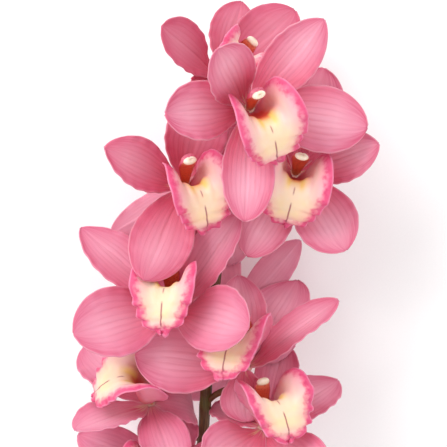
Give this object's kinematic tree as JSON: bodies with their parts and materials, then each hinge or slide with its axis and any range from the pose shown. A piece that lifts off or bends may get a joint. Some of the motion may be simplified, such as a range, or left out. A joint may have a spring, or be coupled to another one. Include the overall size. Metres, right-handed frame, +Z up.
{
  "type": "cymbidium orchid stem",
  "caption": "Cut cymbidium orchid flower stem with a dense spray of pink blooms, each with a cream and pink lip, lying on its back on a surface.",
  "frame": {"origin": "on the surface that the stem lies on, below the middle of its outline as seen from above", "axes": "+Y along the stem from its cut end towards its top, +Z up from the surface towards the faces of the blooms, +X to the right of someone who looks down with the top of the stem away from them"},
  "size_m": [0.17, 0.5508, 0.1521],
  "materials": {
    "tepals": "satin",
    "lip": "satin",
    "column": "satin",
    "cap": "satin",
    "stem": "satin"
  },
  "bodies": {
    "root": {"bloom_01_tepals": "tepals", "bloom_01_lip": "lip", "bloom_01_column": "column", "bloom_01_cap": "cap", "bloom_02_tepals": "tepals", "bloom_02_lip": "lip", "bloom_02_column": "column", "bloom_02_cap": "cap", "bloom_03_tepals": "tepals", "bloom_03_lip": "lip", "bloom_03_column": "column", "bloom_03_cap": "cap", "bloom_04_tepals": "tepals", "bloom_04_lip": "lip", "bloom_04_column": "column", "bloom_04_cap": "cap", "bloom_05_tepals": "tepals", "bloom_05_lip": "lip", "bloom_05_column": "column", "bloom_05_cap": "cap", "bloom_06_tepals": "tepals", "bloom_06_lip": "lip", "bloom_06_column": "column", "bloom_06_cap": "cap", "bloom_07_tepals": "tepals", "bloom_07_lip": "lip", "bloom_07_column": "column", "bloom_07_cap": "cap", "bloom_08_tepals": "tepals", "bloom_08_lip": "lip", "bloom_08_column": "column", "bloom_08_cap": "cap", "bloom_09_tepals": "tepals", "bloom_09_lip": "lip", "bloom_09_column": "column", "bloom_09_cap": "cap", "bloom_10_tepals": "tepals", "bloom_10_lip": "lip", "bloom_10_column": "column", "bloom_10_cap": "cap", "bloom_11_tepals": "tepals", "bloom_11_lip": "lip", "bloom_11_column": "column", "bloom_11_cap": "cap", "stem": "stem"}
  },
  "joints": []
}
